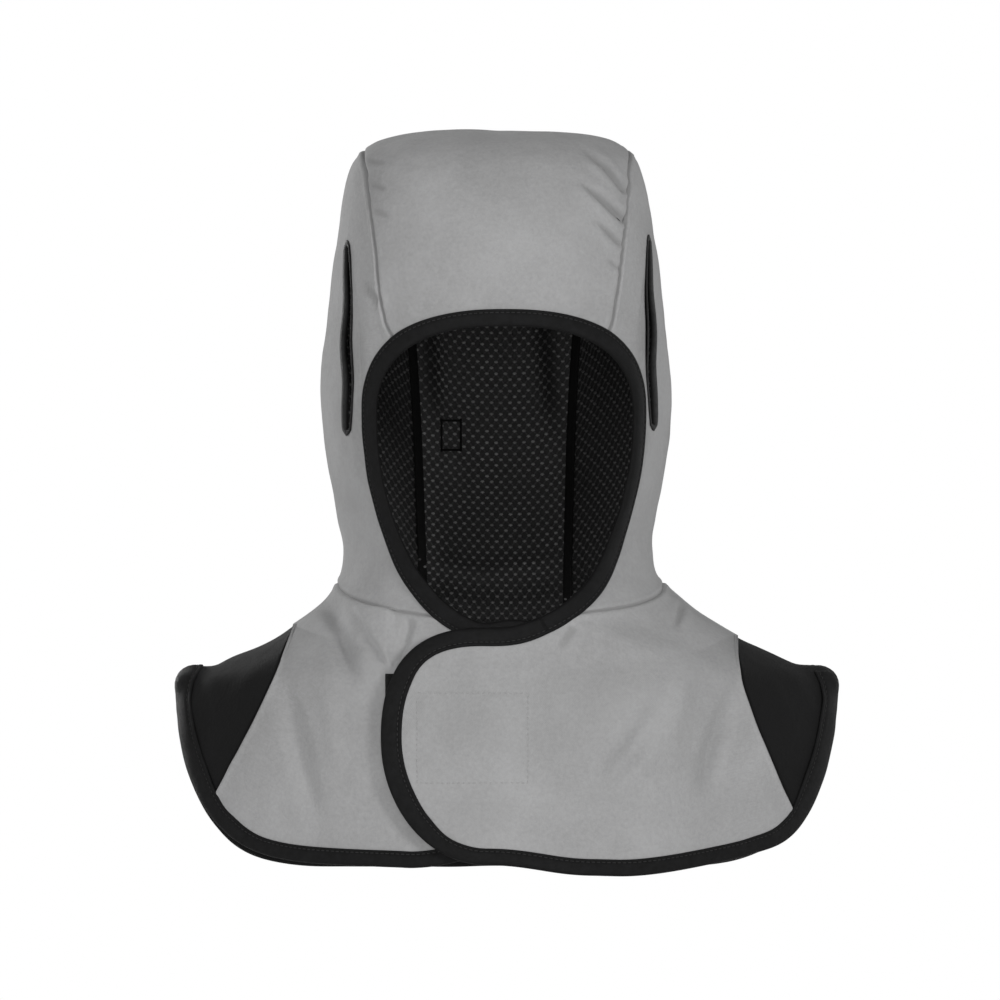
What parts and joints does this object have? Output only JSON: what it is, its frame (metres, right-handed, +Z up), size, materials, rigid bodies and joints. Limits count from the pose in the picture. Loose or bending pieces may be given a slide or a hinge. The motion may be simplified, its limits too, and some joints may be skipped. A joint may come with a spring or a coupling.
{
  "type": "welding head cover",
  "caption": "Close cloth hood with an oval face opening, bound slits at the sides, a mesh lining and a wrap-over neck cape, worn under a welding helmet.",
  "frame": {"origin": "inside the top of the crown, on the lining, where a head carries the cover", "axes": "+Z up, the face looks along -Y, +X is to the right of someone looking at the face"},
  "size_m": [0.3996, 0.2754, 0.4469],
  "materials": {
    "grey_cloth": "matt woven cotton",
    "black_cloth": "matt woven",
    "mesh_lining": "open knitted net",
    "binding_tape": "folded woven tape",
    "loop_patch": "looped pile"
  },
  "bodies": {
    "root": {"crown_panel": "grey_cloth", "side_panel_left": "grey_cloth", "side_panel_right": "grey_cloth", "front_flap_under": "grey_cloth", "front_flap_over": "grey_cloth", "back_cape": "grey_cloth", "shoulder_gusset_left": "black_cloth", "shoulder_gusset_right": "black_cloth", "lining_crown": "mesh_lining", "lining_side_left": "mesh_lining", "lining_side_right": "mesh_lining", "edge_binding": "binding_tape", "slot_binding_left": "binding_tape", "slot_binding_right": "binding_tape", "closure_patch": "loop_patch"}
  },
  "joints": []
}
